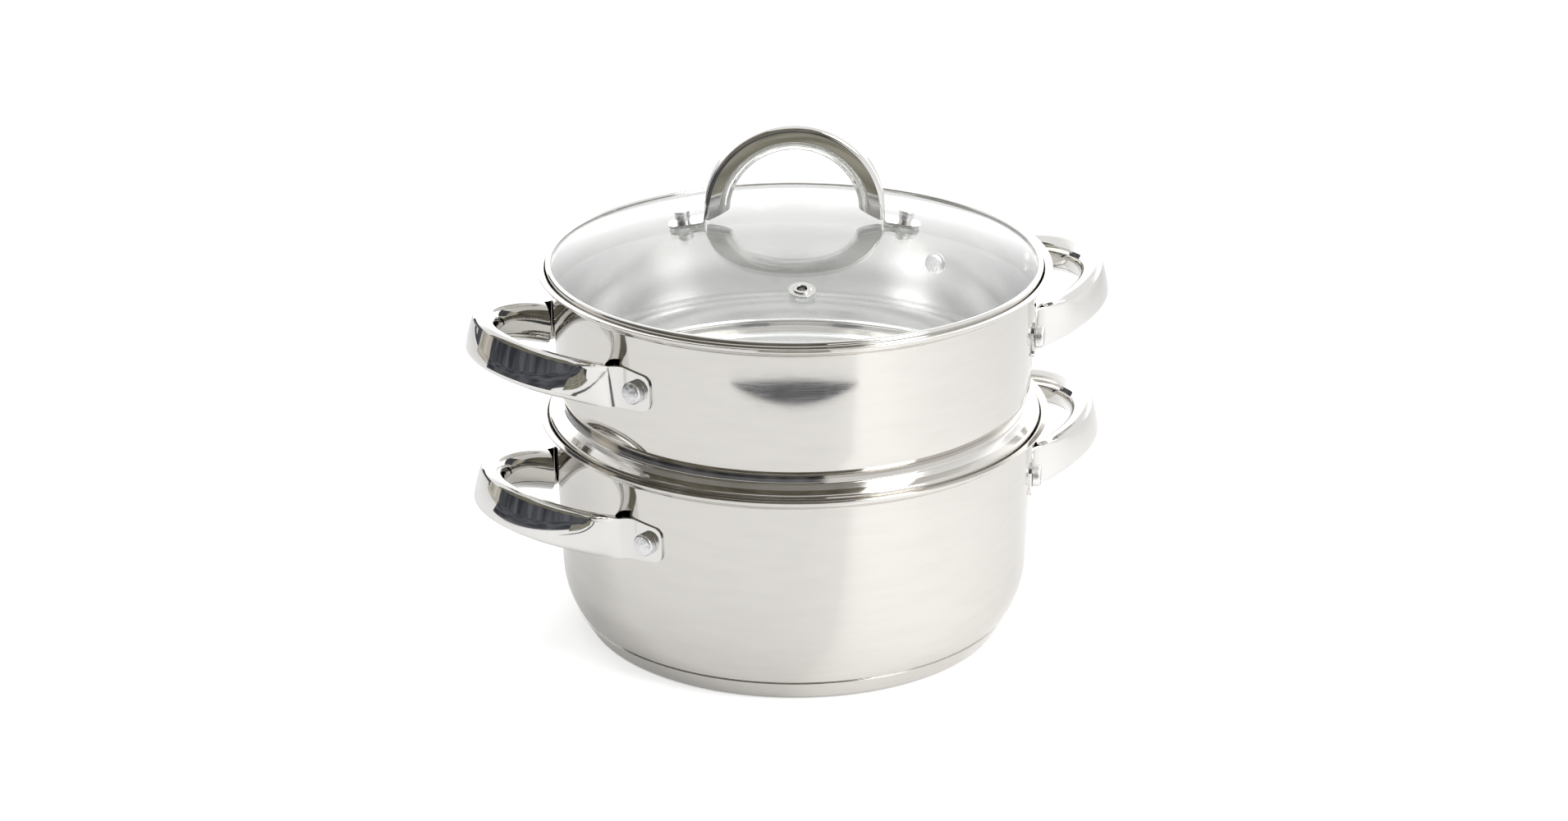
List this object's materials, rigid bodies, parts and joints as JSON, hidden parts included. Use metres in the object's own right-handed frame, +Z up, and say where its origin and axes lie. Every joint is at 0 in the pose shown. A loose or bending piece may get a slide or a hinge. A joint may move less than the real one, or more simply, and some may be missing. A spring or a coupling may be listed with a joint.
{
  "type": "dutch oven with steamer basket",
  "caption": "Round stainless casserole pot on a bonded base, with a stacked steamer basket and a domed glass lid with a steam vent; each has riveted loop handles.",
  "frame": {"origin": "middle of the base's underside, on the table", "axes": "+Z up along the vessels' axis; +X out through the middle of the pot's right handle; +Y away from a cook who stands with the handles left and right"},
  "size_m": [0.337, 0.256, 0.2605],
  "materials": {
    "vessel_steel": "polished with fine circular brushing",
    "polished_steel": "mirror polished stainless steel",
    "rivet_aluminium": "satin",
    "core_aluminium": "pressed",
    "lid_glass": "clear tempered glass with a faint green tint",
    "silicone_seal": "matt silicone, translucent white"
  },
  "bodies": {
    "pot": {"pot_shell": "vessel_steel", "base_core": "core_aluminium", "base_cap": "vessel_steel", "pot_handle_right": "polished_steel", "pot_handle_left": "polished_steel", "pot_rivets_right": "rivet_aluminium", "pot_rivets_left": "rivet_aluminium"},
    "steamer": {"steamer_shell": "vessel_steel", "steamer_handle_right": "polished_steel", "steamer_handle_left": "polished_steel", "steamer_rivets_right": "rivet_aluminium", "steamer_rivets_left": "rivet_aluminium"},
    "lid": {"lid_glass": "lid_glass", "lid_ring": "polished_steel", "lid_handle": "polished_steel", "lid_rivets": "rivet_aluminium", "lid_upper_seals": "silicone_seal", "lid_lower_seals": "silicone_seal", "lid_lower_washers": "polished_steel", "vent_eyelet": "polished_steel", "vent_grommet": "silicone_seal"}
  },
  "joints": [
    {"name": "steamer_lift", "type": "slide", "parent": "pot", "child": "steamer", "axis": [0, 0, 1], "range_m": [0, 0.12]},
    {"name": "lid_lift", "type": "slide", "parent": "steamer", "child": "lid", "axis": [0, 0, 1], "range_m": [0, 0.12]}
  ]
}
